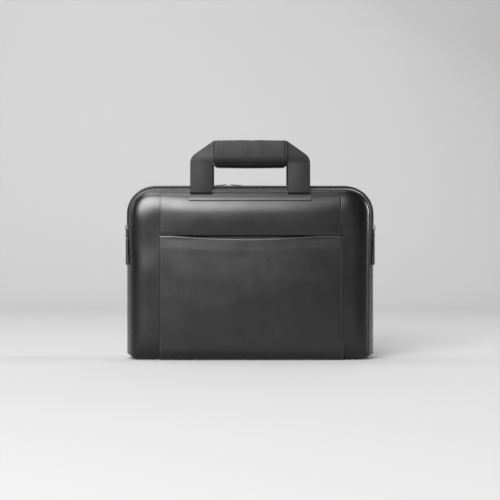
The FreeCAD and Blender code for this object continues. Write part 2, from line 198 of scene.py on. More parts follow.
def speckled(name, dark, light, scale, rough=0.7):
    """Foam, board or thread: a fine mottled solid."""
    material, tree, shader = new_material(name)
    where = object_coordinates(tree)
    spots = texture(tree, "ShaderNodeTexNoise", scale, where, Detail=6.0, Roughness=0.7)
    tree.links.new(ramp(tree, spots.outputs["Fac"], 0.35, 0.65, dark, light), shader.inputs["Base Color"])
    roughness = ramp(tree, spots.outputs["Fac"], 0.3, 0.7, rough - 0.12, rough + 0.1)
    tree.links.new(roughness, shader.inputs["Roughness"])
    tree.links.new(bump(tree, spots.outputs["Fac"], 0.4, 0.0003), shader.inputs["Normal"])
    return material


def grey(value):
    """A grey with a trace of blue."""
    return (value, value, value * 1.02)


MATERIALS = {
    # body_leather is the panel leather's charcoal painted darker still: the lower value is painted shade that
    # stands in for the shade on the flanks
    "body_leather": leather("body_leather", grey(0.0018), grey(0.003), (0.27, 0.32), grain=0.15),
    "panel_leather": leather("panel_leather", grey(0.0026), grey(0.004), (0.28, 0.34)),
    "handle_leather": leather("handle_leather", grey(0.0078), grey(0.011), (0.44, 0.54), grain=0.3, gloss=0.24),
    "grip_leather": leather("grip_leather", grey(0.0105), grey(0.015), (0.44, 0.56), grain=0.35, gloss=0.24),
    "trim_leather": leather("trim_leather", grey(0.0075), grey(0.0115), (0.27, 0.36)),
    "pull_leather": leather("pull_leather", grey(0.0045), grey(0.0075), (0.4, 0.52)),
    "hardware": enamel("hardware", grey(0.008)),
    "zip_tape": woven("zip_tape", grey(0.006), grey(0.022), threads=2600),
    "zip_coil": enamel("zip_coil", grey(0.012), rough=(0.26, 0.4), coat=0.15),
    "lining": woven("lining", grey(0.03), grey(0.085), threads=1900, sheen=0.3),
    "padding": woven("padding", grey(0.035), grey(0.08), threads=1100, sheen=0.5),
    "board": speckled("board", (0.16, 0.14, 0.11), (0.3, 0.26, 0.2), 700),
    "grip_core": speckled("grip_core", grey(0.03), grey(0.07), 1500),
    "thread": speckled("thread", grey(0.028), grey(0.05), 3000, rough=0.55),
}


# ---------------------------------------------------------------- mesh helpers
def smooth01(t):
    t = min(1.0, max(0.0, t))
    return t * t * (3 - 2 * t)


def lerp(a, b, t):
    return a + (b - a) * t


def ripple(point, size, height, seed=0.0):
    """Soft unevenness of stretched leather."""
    return height * noise.noise(point / size + Vector((seed, 3.1 * seed, 0)))


def add_object(name, data):
    obj = bpy.data.objects.new(name, data)
    scene.collection.objects.link(obj)
    return obj

def make(name, verts, faces, slot):
    mesh = bpy.data.meshes.new(name)
    mesh.from_pydata([tuple(v) for v in verts], [], faces)
    mesh.materials.append(MATERIALS[slot])
    return add_object(name, mesh)


def from_bmesh(name, source, material):
    mesh = bpy.data.meshes.new(name)
    source.to_mesh(mesh)
    source.free()
    mesh.materials.append(material)
    return add_object(name, mesh)

def shade(mesh, sharp):
    """Smooth shading, broken at edges of more than so many degrees."""
    mesh.polygons.foreach_set("use_smooth", [True] * len(mesh.polygons))
    mesh.set_sharp_from_angle(angle=math.radians(sharp))

def settle(obj, thickness=0.0, bevel=0.0, sharp=50.0, even=True):
    """Give a sheet its thickness and rounded edges, and keep the result as plain mesh."""
    if thickness:
        solid = obj.modifiers.new("thickness", "SOLIDIFY")
        solid.thickness = thickness
        solid.offset = -1.0
        solid.use_even_offset = even
    if bevel:
        edge = obj.modifiers.new("edge", "BEVEL")
        edge.width = bevel
        edge.segments = 2
        edge.limit_method = "ANGLE"
        edge.angle_limit = math.radians(45)
    graph = bpy.context.evaluated_depsgraph_get()
    mesh = bpy.data.meshes.new_from_object(obj.evaluated_get(graph))
    obj.modifiers.clear()
    obj.data = mesh
    shade(mesh, sharp)
    return obj


def grid_faces(rows, columns, closed=False, flip=False):
    faces = []
    for r in range(rows - 1):
        for c in range(columns if closed else columns - 1):
            d = (c + 1) % columns
            quad = (r * columns + c, r * columns + d, (r + 1) * columns + d, (r + 1) * columns + c)
            faces.append(quad[::-1] if flip else quad)
    return faces


def sheet_piece(name, spot, columns, rows, slot, thickness, bevel, flip=False):
    """A leather or cloth piece over spot(u, v), u across and v down, both from 0 to 1."""
    points = [spot(c / (columns - 1), r / (rows - 1)) for r in range(rows) for c in range(columns)]
    obj = make(name, points, grid_faces(rows, columns, flip=flip), slot)
    return settle(obj, thickness, bevel)


def tube_piece(name, path, radius, slot, sides=10, closed=False):
    """A round cord or wire along a list of points, with rounded ends."""
    count = len(path)
    verts, faces = [], []
    up = Vector((0, 1, 0))
    for i, point in enumerate(path):
        before = path[i - 1] if closed or i else point
        after = path[(i + 1) % count] if closed or i < count - 1 else point
        along = (after - before).normalized()
        side = along.cross(up)
        side = side.normalized() if side.length > 1e-6 else Vector((1, 0, 0))
        over = side.cross(along).normalized()
        for k in range(sides):
            turn = 2 * math.pi * k / sides
            verts.append(point + side * radius * math.cos(turn) + over * radius * math.sin(turn))
    faces = grid_faces(count, sides, closed=True)
    if closed:
        last = (count - 1) * sides
        faces += [(last + k, last + (k + 1) % sides, (k + 1) % sides, k) for k in range(sides)]
    else:
        faces += [tuple(range(sides))[::-1], tuple((count - 1) * sides + k for k in range(sides))]
    return settle(make(name, verts, faces, slot), bevel=0 if closed else radius * 0.3)



class Route:
    """A dense line of points that can be read at any share of its length."""

    def __init__(self, points):
        self.points = points
        self.lengths = [0.0]
        for a, b in zip(points, points[1:]):
            self.lengths.append(self.lengths[-1] + (b - a).length)
        self.length = self.lengths[-1]

    def at(self, share):
        goal = min(1.0, max(0.0, share)) * self.length
        low, high = 0, len(self.points) - 1
        while high - low > 1:
            middle = (low + high) // 2
            if self.lengths[middle] <= goal:
                low = middle
            else:
                high = middle
        span = self.lengths[high] - self.lengths[low]
        return self.points[low].lerp(self.points[high], (goal - self.lengths[low]) / span if span else 0.0)


def plate(name, outline, thickness, slot, bevel, place, segments=3):
    """A flat plate with rounded edges. outline is 2-D, and place maps (u, v, w) to a point."""
    mesh = bmesh.new()
    low = [mesh.verts.new((u, v, 0)) for u, v in outline]
    bottom = mesh.faces.new(low)
    lifted = bmesh.ops.extrude_face_region(mesh, geom=[bottom])["geom"]
    raised = [g for g in lifted if isinstance(g, bmesh.types.BMVert)]
    bmesh.ops.translate(mesh, verts=raised, vec=(0, 0, thickness))
    bmesh.ops.recalc_face_normals(mesh, faces=mesh.faces)
    bmesh.ops.bevel(mesh, geom=list(mesh.edges), offset=bevel, segments=segments, affect="EDGES", profile=0.5,
                    clamp_overlap=True)
    for vert in mesh.verts:
        vert.co = Vector(place(*vert.co))
    bmesh.ops.recalc_face_normals(mesh, faces=mesh.faces)
    return settle(from_bmesh(name, mesh, MATERIALS[slot]), sharp=40)


def join(name, pieces):
    """One object made of several."""
    whole = bmesh.new()
    for piece in pieces:
        whole.from_mesh(piece.data)
    obj = from_bmesh(name, whole, pieces[0].data.materials[0])
    for piece in pieces:
        bpy.data.objects.remove(piece)
    shade(obj.data, 50)
    return obj


def capsules(name, spots, slot, sides=6):
    """Many small rounded rods in one object. Each spot is (centre, along, up, profile),
    where profile lists (share of along, width, height, lift)."""
    verts, faces = [], []
    for centre, along, up, profile in spots:
        side = along.cross(up).normalized()
        base = len(verts)
        for share, width, height, lift in profile:
            middle = centre + along * share + up * lift
            for k in range(sides):
                turn = 2 * math.pi * k / sides
                verts.append(middle + side * width * math.cos(turn) + up * height * math.sin(turn))
        faces += [tuple(base + i for i in face) for face in grid_faces(len(profile), sides, closed=True)]
        end = base + (len(profile) - 1) * sides
        faces += [tuple(base + k for k in range(sides))[::-1], tuple(end + k for k in range(sides))]
    return settle(make(name, verts, faces, slot), sharp=70)


def stitches(name, lines, pitch=0.0034, gap=0.0009, width=0.00028):
    """Rows of thread. Each line is a list of (point, outward normal)."""
    spots = []
    reach = (pitch - gap) / 2
    profile = [(-1.0, 0.5 * width, 0.4 * width, -0.0002), (-0.6, width, width, 0.0001),
               (0.0, 1.1 * width, 1.1 * width, 0.0002), (0.6, width, width, 0.0001),
               (1.0, 0.5 * width, 0.4 * width, -0.0002)]
    for line in lines:
        route = Route([point for point, _ in line])
        normals = [normal for _, normal in line]
        count = max(1, int(route.length / pitch))
        for i in range(count):
            share = (i + 0.5) / count
            centre = route.at(share)
            along = (route.at(share + 0.3 / count) - route.at(share - 0.3 / count)).normalized()
            up = normals[min(len(normals) - 1, int(share * len(normals)))]
            up = (up - along * up.dot(along)).normalized()
            spots.append((centre, along * reach, up, profile))
    return capsules(name, spots, "thread")


def surface_line(spot, stops, outward):
    """Points and normals along (u, v) stops of a surface."""
    step = 1e-3
    line = []
    for u, v in stops:
        here = spot(u, v)
        du = spot(min(1, u + step), v) - spot(max(0, u - step), v)
        dv = spot(u, min(1, v + step)) - spot(u, max(0, v - step))
        normal = du.cross(dv).normalized()
        if normal.dot(outward(here)) < 0:
            normal = -normal
        line.append((here, normal))
    return line


def stops_between(a, b, count=60):
    return [(lerp(a[0], b[0], i / count), lerp(a[1], b[1], i / count)) for i in range(count + 1)]



def press_flat(obj):
    """What is folded under the base lies flat on the floor instead of sinking into it."""
    sunk, level = -0.0012, 0.002
    for vertex in obj.data.vertices:
        if vertex.co.z < level:
            vertex.co.z = level * max(0.0, vertex.co.z - sunk) / (level - sunk)


def keep(obj, slot, body=None, *nodes):
    """Press a finished piece onto the floor, parent it to its body and hide the CAD nodes that it stands for.
    The slot is not used.
    Without a body its position is baked into its mesh."""
    press_flat(obj)
    if body:
        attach(obj, body)
    else:
        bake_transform(obj)
    if nodes:
        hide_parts(*nodes)

def halves(name):
    """The two nodes of a part that is divided at the fold's height."""
    return [name + "_lower", name + "_upper"]


# ---------------------------------------------------------------- the body's outline
def crown_drop(y):
    return SEAM_DROP * (abs(y) / SEAM_Y) ** CROWN_POWER


def widen(x, z):
    """The sides are a little fuller around the zip ends than lower down."""
    full = smooth01((z - 0.150) / 0.060) * (1 - smooth01((z - 0.246) / 0.036))
    return x * (1 + BULGE / HALF * full)


def quarter(cx, cz, radius, low, count, power):
    """A rounded corner at the right, low or high, anticlockwise."""
    points = []
    for i in range(count):
        t = math.pi / 2 * i / (count - 1)
        a = abs(math.cos(t)) ** (2 / power)
        b = abs(math.sin(t)) ** (2 / power)
        u, v = (b, -a) if low else (a, b)
        points.append((cx + radius * u, cz + radius * v))
    return points


def ring(y, half, low, top, low_radius, top_radius):
    """A rounded rectangle in the plane at y, from the middle of the base anticlockwise."""
    base_steps, side_steps, top_steps = 20, 44, 40
    low_x = half - low_radius
    top_x = half - top_radius
    flat = [(low_x * i / base_steps, low) for i in range(base_steps)]
    flat += quarter(low_x, low + low_radius, low_radius, True, 12, LOW_CORNER_POWER)
    rise = top - top_radius - low - low_radius
    flat += [(half, low + low_radius + rise * i / side_steps) for i in range(1, side_steps)]
    flat += quarter(top_x, top - top_radius, top_radius, False, 22, CORNER_POWER)
    flat += [(top_x * (1 - i / top_steps), top) for i in range(1, top_steps + 1)]
    flat += [(-x, z) for x, z in flat[-2:0:-1]]
    return [Vector((widen(x, z), y, z)) for x, z in flat]


def gusset_ring(y, inset=0.0):
    drop = crown_drop(y) + inset
    return ring(y, HALF - drop, BODY_LOW + inset, TOP - drop, LOW_RADIUS - inset, TOP_RADIUS - drop)


def mirrored(points):
    return [Vector((-p.x, p.y, p.z)) for p in points]

def over_the_top(y, inset, low):
    """The outline at y from the left side at height low, over the top, to the right side."""
    points = gusset_ring(y, inset)
    middle = min(range(len(points)), key=lambda i: abs(points[i].x) - points[i].z * 10)
    right = [p for p in points[:middle + 1] if p.x >= 0 and p.z > low]
    first = points[points.index(right[0]) - 1]
    start = first.lerp(right[0], (low - first.z) / (right[0].z - first.z))
    right = [start] + right
    return Route(mirrored(right) + [p for p in right[::-1] if p.x > 1e-6])


def under_the_base(y, inset, high):
    """The outline at y from the left side at height high, under the base, to the right side."""
    points = gusset_ring(y, inset)
    right = []
    for p in points:
        if p.z >= high and p.x > 0:
            right.append(right[-1].lerp(p, (high - right[-1].z) / (p.z - right[-1].z)))
            break
        right.append(p)
    return Route(mirrored(right[:0:-1]) + right)


def away_from_middle(point):
    return Vector((point.x, 0, point.z - 0.12))


# ---------------------------------------------------------------- gusset, piping and zips
def strip_spot(y0, y1, inset, low, route_of=over_the_top, crown=0.0, wave=0.00015):
    """A strip of the gusset between two depths, slightly rounded across."""
    cache = {}

    def spot(u, v):
        y = lerp(y0, y1, v)
        key = round(y, 7)
        if key not in cache:
            cache[key] = route_of(y, inset - crown * math.sin(math.pi * v), low)
        point = cache[key].at(u)
        return point + away_from_middle(point).normalized() * ripple(point, 0.035, wave)

    return spot


def build_band(name, y0, y1, body, nodes, stitched):
    """A leather strip beside a zip, stitched at the given shares of its width."""
    spot = strip_spot(y0, y1, 0.0, ZIP_END - 0.004, crown=0.0005)
    band = sheet_piece(name, spot, 240, 8, "body_leather", SHELL_LEATHER, 0.0007)
    lines = [surface_line(spot, stops_between((0.004, v), (0.996, v), 300), away_from_middle) for v in stitched]
    keep(band, "body_leather", body, *nodes)
    keep(stitches(name + "_stitching", lines), "body_leather", body)


def build_tape(name, y0, y1, body, nodes):
    spot = strip_spot(y0, y1, 0.0029, ZIP_END - 0.005, wave=0.0)
    tape = sheet_piece(name, spot, 200, 4, "zip_tape", 0.0008, 0.0)
    keep(tape, "zip_tape", body, *nodes)


def build_coil(name, middle, side, reach, shift, body, nodes):
    """One row of a nylon coil: a rod for each turn, with a head where it meets the other row."""
    pitch = 0.0017
    root = 0.0036
    length = (root - reach) / 2
    centre_y = middle + side * (root + reach) / 2
    route = over_the_top(centre_y, 0.0021, ZIP_END + 0.001)
    thin, head = 0.00056, 0.0008
    profile = [(-1.0, 0.7 * thin, 0.7 * thin, -0.0003), (-0.8, thin, thin, 0.0), (0.3, thin, thin, 0.0001),
               (0.62, head, head, 0.0001), (0.88, head, head, 0.0), (1.0, 0.5 * head, 0.5 * head, -0.0001)]
    count = int(route.length / pitch)
    spots = []
    for i in range(count):
        share = (i + shift) / count
        point = route.at(share)
        ahead = (route.at(share + 0.4 / count) - route.at(share - 0.4 / count)).normalized()
        across = Vector((0, -side, 0))
        up = ahead.cross(across).normalized()
        up = up if up.dot(away_from_middle(point)) > 0 else -up
        spots.append((point, across * length, up, profile))
    coil = capsules(name, spots, "zip_coil")
    keep(coil, "zip_coil", body, *nodes)


def build_piping(name, sign, body, nodes):
    radius, end = 0.0015, 0.148  # it ends this far from the middle of the base
    outline = gusset_ring(sign * SEAM_Y)
    path = [p for p in outline if not (p.z < BODY_LOW + 1e-4 and abs(p.x) < end)]
    turn = next(i for i in range(len(path)) if path[i].x < 0 and path[i - 1].z < 0.05)
    path = path[turn:] + path[:turn] if turn else path
    path = [p + Vector((0, sign * 0.0003, 0.0002)) for p in path]
    keep(tube_piece(name, path, radius, "trim_leather"), "trim_leather", body, *nodes)


def build_gusset():
    build_band("middle_band_leather", -BAND_IN, BAND_IN, "case", ["middle_band"], (0.16, 0.84))
    build_band("rear_band_leather", BAND_OUT, SEAM_Y, "case", ["rear_band"], (0.24,))
    build_band("front_band_leather", -SEAM_Y, -BAND_OUT, None, halves("front_band"), (0.76,))
    slit = 0.0008  # half the gap between the tapes of a zip
    near, far = ZIP_Y - slit, ZIP_Y + slit
    build_tape("rear_zip_front_tape", TAPE_IN, near, "case", ["rear_zip_tape_front"])
    build_tape("rear_zip_rear_tape", far, TAPE_OUT, "case", ["rear_zip_tape_rear"])
    build_tape("main_zip_rear_tape", -near, -TAPE_IN, "case", ["main_zip_tape_rear"])
    build_tape("main_zip_front_tape", -TAPE_OUT, -far, None, halves("main_zip_tape_front"))
    closed, apart = -0.0004, 0.0007  # how far the heads of a coil stop short of the zip's middle
    build_coil("rear_zip_front_coil", ZIP_Y, -1, closed, 0.25, "case", ["rear_zip_coil_front"])
    build_coil("rear_zip_rear_coil", ZIP_Y, 1, closed, 0.75, "case", ["rear_zip_coil_rear"])
    build_coil("main_zip_rear_coil", -ZIP_Y, 1, apart, 0.25, "case", ["main_zip_coil_rear"])
    build_coil("main_zip_front_coil", -ZIP_Y, -1, apart, 0.75, None, halves("main_zip_coil_front"))
    build_piping("rear_seam_piping", 1, "case", ["rear_piping"])
    build_piping("front_seam_piping", -1, None, halves("front_piping"))


def build_side_gusset(name, sign):
    """A side piece that overlaps the base piece at its corner and covers the zips' ends."""
    low, high = BODY_LOW + LOW_RADIUS - 0.006, ZIP_END + 0.003
    proud = 0.0006
    routes = {}

    def spot(u, v):
        y = lerp(-SEAM_Y, SEAM_Y, v)
        key = round(y, 7)
        if key not in routes:
            routes[key] = Route([p for p in gusset_ring(y, -proud) if p.x > 0.1 and low < p.z < high])
        point = routes[key].at(u)
        fullness = proud * math.sin(math.pi * v) + ripple(point, 0.05, 0.0005, 2.0)
        return Vector((sign * (point.x + fullness), point.y, point.z))

    piece = sheet_piece(name + "_leather", spot, 70, 20, "body_leather", GUSSET_LEATHER, 0.0007, flip=sign > 0)
    ends = [stops_between((u, 0.06), (u, 0.94)) for u in (0.985, 0.015)]
    lines = [surface_line(spot, stops, away_from_middle) for stops in ends]
    keep(piece, "body_leather", "case", name)
    keep(stitches(name + "_stitching", lines), "body_leather", "case")

def build_lower_gusset():
    build_side_gusset("side_gusset_left", -1)
    build_side_gusset("side_gusset_right", 1)
    rim = BODY_LOW + LOW_RADIUS + 0.002
    spot = strip_spot(-SEAM_Y, SEAM_Y, 0.0004, rim, route_of=under_the_base, wave=0.0)
    base = sheet_piece("base_leather", spot, 120, 12, "body_leather", GUSSET_LEATHER, 0.0006, flip=True)
    keep(base, "body_leather", "case", "base_panel")

# ---------------------------------------------------------------- the domed faces
def dome_of(sign):
    return REAR_DOME if sign > 0 else FRONT_DOME


def dome_ring(sign, turn):
    """A ring of the dome, from the seam at turn 0 to the flat middle at a quarter turn."""
    full_side, full_top = dome_of(sign)
    rise = 1 - math.cos(turn)
    side = SEAM_DROP + full_side * rise
    top = SEAM_DROP + full_top * rise
    low = FLANK_LOW * rise
    depth = SEAM_Y + (FACE_Y - SEAM_Y) * math.sin(turn)
    top_radius = max(0.014, TOP_RADIUS - SEAM_DROP - 0.6 * full_side * rise)
    return ring(sign * depth, HALF - side, BODY_LOW + low, TOP - top, LOW_RADIUS + 0.3 * low, top_radius)

def face_rows(sign, window):
    """Rings from the seam over the dome and in across the flat, to the edge of a window."""
    domed = [dome_ring(sign, math.pi / 2 * i / 14) for i in range(15)]
    outer = domed[-1]
    half, low, top, radius = window
    inner = ring(outer[0].y, half, low, top, radius, radius)
    steps = 8
    flat = [[a.lerp(b, i / steps) for a, b in zip(outer, inner)] for i in range(1, steps + 1)]
    return domed + flat


def build_face(name, sign, body, nodes, window, closed=False):
    """The leather of one face. A closed one is filled in behind its centre panel."""
    rows = face_rows(sign, window)
    if closed:
        edge = rows[-1]
        centre = sum(edge, Vector()) / len(edge)
        rows += [[p.lerp(centre, i / 8) for p in edge] for i in range(1, 8)]
    points = []
    for r, row in enumerate(rows):
        loose = smooth01(r / 6) * (1 - smooth01((r - 15) / 6))
        for p in row:
            lift = loose * (ripple(p, 0.075, 0.0012, 1.7 * sign) + ripple(p, 0.04, 0.0003, 5.0))
            points.append(p + Vector((0, sign * lift, 0)))
    count = len(rows[0])
    faces = grid_faces(len(rows), count, closed=True, flip=sign > 0)
    if closed:
        cap = tuple(range(len(points) - count, len(points)))
        faces.append(cap[::-1] if sign > 0 else cap)
    skin = make(name, points, faces, "body_leather")
    settle(skin, SHELL_LEATHER, even=False)
    keep(skin, "body_leather", body, *nodes)


def build_faces():
    tray_low, tray_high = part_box("pocket_back")
    wall = 0.004
    front_window = (tray_high.x - wall, tray_low.z + wall, ZIP_END + 0.0002, 0.003)
    build_face("front_face_leather", -1, None, halves("front_shell"), front_window)
    rear_middle = (0.120, 0.060, 0.220, 0.012)
    build_face("rear_face_leather", 1, "case", halves("rear_shell"), rear_middle, closed=True)


# ---------------------------------------------------------------- centre panels
class Face:
    """The middle of a face seen from the side: a line over the dome, down and under the base."""

    def __init__(self, sign, lift, top_z):
        self.sign = sign
        grow = FACE_Y - SEAM_Y + lift
        full = dome_of(sign)[1] + lift
        start = math.acos(1 - ((TOP - top_z) - (SEAM_DROP - lift)) / full)
        points = []
        for i in range(41):
            turn = lerp(start, math.pi / 2, i / 40)
            drop = SEAM_DROP - lift + full * (1 - math.cos(turn))
            points.append((SEAM_Y + grow * math.sin(turn), TOP - drop))
        flat_low = BODY_LOW + PANEL_LOW
        flat_top = points[-1][1]
        points += [(SEAM_Y + grow, lerp(flat_top, flat_low, i / 100)) for i in range(1, 101)]
        for i in range(1, 31):
            turn = math.pi / 2 * (1 - i / 30)
            rise = (PANEL_LOW + lift) * (1 - math.cos(turn))
            points.append((SEAM_Y + grow * math.sin(turn), BODY_LOW - lift + rise))
        points += [(SEAM_Y * (1 - i / 20), BODY_LOW - lift) for i in range(1, 21)]
        self.route = Route([Vector((0, sign * y, z)) for y, z in points])

    def share_at(self, z):
        """How far down the line is at height z, on its front."""
        low, high = 0.0, 1.0
        for _ in range(30):
            middle = (low + high) / 2
            if self.route.at(middle).z > z:
                low = middle
            else:
                high = middle
        return low

    def at(self, share):
        here = self.route.at(share)
        ahead = self.route.at(share + 0.002) - self.route.at(share - 0.002)
        normal = Vector((0, ahead.z, -ahead.y)).normalized()
        if normal.y * self.sign < 0 and here.z > BODY_LOW:
            normal = -normal
        if here.z <= BODY_LOW and normal.z > 0:
            normal = -normal
        return here, normal


REAR_PANEL_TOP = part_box("rear_centre_panel")[1].z
YOKE_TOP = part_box("front_yoke_upper")[1].z


def swell(sign, z):
    """How far a filled bag pushes its centre panels out at height z."""
    if sign > 0:
        return 0.0020 * math.sin(math.pi * min(1.0, max(0.0, z / REAR_PANEL_TOP)))
    low = ZIP_END - LIP["sag"]
    if z > low:
        t = (z - low) / (YOKE_TOP - low)
        return 0.0030 * max(0.0, math.sin(math.pi * min(1.0, 0.08 + 0.92 * t))) ** 1.2
    return 0.0030 * max(0.0, math.sin(math.pi * z / low)) + 0.0006 * max(0.0, z / low)


def panel_spot(face, edges, z_range, start_of, end, puff, seed, push=None):
    """A centre panel between its slanting side edges, from start_of(x) down the face line to end."""
    (top_left, top_right), (low_left, low_right) = edges
    top_z, low_z = z_range

    def spot(u, v):
        guess = face.route.at(lerp(start_of(0.0), end, v)).z
        t = (guess - low_z) / (top_z - low_z)
        left, right = lerp(low_left, top_left, t), lerp(low_right, top_right, t)
        x = lerp(left, right, u)
        share = lerp(start_of(x), end, v)
        here, normal = face.at(share)
        along = min(1.0, 12 * v, 12 * (1 - v))
        across = 1 - abs(2 * u - 1) ** 3
        lift = puff * along + (swell(face.sign, here.z)
                + ripple(Vector((x, 0, here.z)), 0.07, 0.0005, seed)) * across
        if push:
            lift += push(x, here.z)
        return Vector((x, 0, 0)) + here + normal * lift

    return spot


def face_outward(sign):
    def outward(point):
        return Vector((0, sign, -0.4 if point.z < 0.02 else 0.05))
    return outward


def edge_lines(spot, outward, sides, inset_u, inset_v):
    """Stitch lines a little inside the chosen edges of a panel."""
    far_u, far_v = 1 - inset_u, 1 - inset_v
    corners = {"left": ((inset_u, inset_v), (inset_u, far_v)), "right": ((far_u, inset_v), (far_u, far_v)),
               "top": ((inset_u, inset_v), (far_u, inset_v))}
    return [surface_line(spot, stops_between(*corners[side], 160), outward) for side in sides]


LIP = {"left": -0.125, "right": 0.112, "sag": 0.0051}


def lip_z(x):
    """The sagging upper edge of the slip pocket."""
    middle = (LIP["left"] + LIP["right"]) / 2
    half = (LIP["right"] - LIP["left"]) / 2
    t = min(1.0, abs(x - middle) / half)
    return ZIP_END - LIP["sag"] * (1 - t * t)


def finish_panel(name, spot, columns, rows, sides, inset_v, sign, body, *nodes):
    """A panel of leather over spot, stitched along the given sides."""
    slot = "panel_leather"
    panel = sheet_piece(name + "_leather", spot, columns, rows, slot, PANEL_LEATHER, 0.0009, flip=sign < 0)
    keep(panel, slot, body, *nodes)
    lines = edge_lines(spot, face_outward(sign), sides, 0.010, inset_v)
    keep(stitches(name + "_stitching", lines), slot, body)

def build_front_panels():
    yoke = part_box("front_yoke_upper")
    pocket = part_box("pocket_front")
    edges = ((yoke[0].x, yoke[1].x - 0.0008), (pocket[0].x, pocket[1].x))
    z_range = (YOKE_TOP, 0.0)
    face = Face(-1, PANEL, YOKE_TOP)
    yoke_end = face.share_at(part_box("front_yoke_lower")[0].z)
    spot = panel_spot(face, edges, z_range, lambda x: 0.0, yoke_end, 0.0004, 4.0)
    sides = ("left", "right", "top")
    finish_panel("front_yoke", spot, 100, 46, sides, 0.038, -1, None, *halves("front_yoke"))

    def push(x, z):
        """The lip stands off the yoke where it sags."""
        sag = (ZIP_END - lip_z(x)) / LIP["sag"]
        return 0.0012 * sag * max(0.0, 1 - (ZIP_END - z) / 0.045) ** 2

    spot = panel_spot(face, edges, z_range, lambda x: face.share_at(lip_z(x)), 1.0, 0.0006, 9.0, push)
    finish_panel("pocket_front", spot, 110, 96, ("left", "right"), 0.012, -1, "case", "pocket_front")

def build_rear_panel():
    low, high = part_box("rear_centre_panel")
    edges = ((low.x + 0.002, high.x - 0.002), (low.x, high.x))
    face = Face(1, PANEL, high.z)
    spot = panel_spot(face, edges, (high.z, 0.0), lambda x: 0.0, 1.0, 0.0006, 14.0)
    sides = ("left", "right", "top")
    finish_panel("rear_centre", spot, 100, 120, sides, 0.009, 1, "case", "rear_centre_panel")

# ---------------------------------------------------------------- handles
def grip_section(inset):
    """The grip's outline in depth and height: flat outside, round underneath."""
    low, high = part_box("rear_handle_grip_wrap")
    inner, outer = low.y + inset, high.y - inset
    bottom, top = low.z + inset, high.z - inset
    half = (outer - inner) / 2
    middle = (outer + inner) / 2
    points = []

    def arc(cy, cz, ry, rz, start, end, count):
        for i in range(count):
            t = math.radians(lerp(start, end, i / (count - 1)))
            points.append((cy + ry * math.cos(t), cz + rz * math.sin(t)))

    corner, back = 0.0022, 0.008  # radii of the outer and the inner top edge
    arc(middle, bottom + half * 1.12, half, half * 1.12, 180, 360, 19)
    arc(outer - corner, top - corner, corner, corner, 0, 90, 6)
    arc(inner + back, top - back, back, back, 90, 180, 9)
    return points


def build_grip(name, sign, body):
    """Leather wrapped round the core, with its seam stitched underneath."""
    low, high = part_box("rear_handle_grip_wrap")
    half, inner = high.x, 38
    verts = []

    def fullness(x):
        return 0.0005 * math.cos(math.pi * x / (2 * half))

    cap = 0.0006  # the end leather covers the foam core
    ends = [(-cap, 0.0034), (-cap + 0.0002, 0.0020), (0.0004, 0.0010), (0.0018, 0.0003)]
    shares = [(-half + a, b) for a, b in ends]
    shares += [(lerp(-half + 0.004, half - 0.004, i / (inner - 1)), 0.0) for i in range(inner)]
    shares += [(half - a, b) for a, b in ends[::-1]]
    for x, inset in shares:
        for y, z in grip_section(inset - fullness(x)):
            point = Vector((x, sign * y, z))
            wave = ripple(point, 0.018, 0.0003, 8.0) + ripple(Vector((x * 2.5, y, z)), 0.012, 0.00018, 3.0)
            verts.append(point + Vector((0, sign * wave, wave)))
    count = len(grip_section(0.0))
    faces = grid_faces(len(shares), count, closed=True, flip=sign > 0)
    first = tuple(range(count))
    last = tuple((len(shares) - 1) * count + k for k in range(count))
    faces += [first, last[::-1]] if sign > 0 else [first[::-1], last]
    wrap = settle(make(name + "_grip_leather", verts, faces, "grip_leather"), sharp=60)
    keep(wrap, "grip_leather", body, name + "_handle_grip_wrap")
    seam = []
    bottom = grip_section(0.0)
    for offset in (-0.0022, 0.0022):
        line = []
        for i in range(120):
            x = lerp(-half + 0.004, half - 0.004, i / 119)
            y = low.y + (high.y - low.y) * 0.5 + offset
            nearest = min(bottom[:19], key=lambda p: abs(p[0] - y))
            line.append((Vector((x, sign * y, nearest[1] - fullness(x) - 0.0001)), Vector((0, 0, -1))))
        seam.append(line)
    keep(stitches(name + "_grip_stitching", seam), "grip_leather", body)


def strap_outline():
    """The strap's shape as seen from the front, from its left foot round to the inner side."""
    low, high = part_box("rear_handle_strap")
    foot = low.z - 0.0085
    half, top = high.x, high.z
    chamfer_x, chamfer_z = STRAP_CHAMFER
    inner_top = 0.317
    inner = half - STRAP_LEG
    tangent = 0.010
    slope = math.hypot(half - chamfer_x, top - chamfer_z)
    begin = Vector((half, chamfer_z - tangent))
    corner = Vector((half, chamfer_z))
    finish = corner + Vector((chamfer_x - half, top - chamfer_z)) * (tangent / slope)
    bend = [begin.lerp(corner, t).lerp(corner.lerp(finish, t), t) for t in [i / 6 for i in range(7)]]
    right = [(p.x, p.y) for p in bend]
    left = [(-x, z) for x, z in right]
    return ([(-half, foot)] + left + [(-chamfer_x, top), (chamfer_x, top)] + right[::-1] + [(half, foot),
            (inner, foot), (inner, inner_top), (-inner, inner_top), (-inner, foot)])


def strap_lines(sign):
    """Stitch lines inside the outer and inner edges of both legs, on both faces."""
    low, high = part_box("rear_handle_strap")
    inset = 0.0028
    outer, inner, foot = high.x - inset, high.x - STRAP_LEG + inset, low.z + 0.009
    outside = [(outer, foot), (outer, 0.3155), (outer - 0.0018, 0.3215), (outer - 0.0062, 0.3262),
               (STRAP_CHAMFER[0], high.z - inset * 1.25)]
    inside = [(inner, foot), (inner, 0.313)]
    lines = []
    for side in (-1, 1):
        for stops in (outside, inside):
            for y, facing in ((high.y + 0.0001, sign), (low.y - 0.0001, -sign)):
                line = []
                for (x0, z0), (x1, z1) in zip(stops, stops[1:]):
                    for t in [i / 40 for i in range(40)]:
                        point = Vector((side * lerp(x0, x1, t), sign * y, lerp(z0, z1, t)))
                        line.append((point, Vector((0, facing, 0))))
                lines.append(line)
    return lines

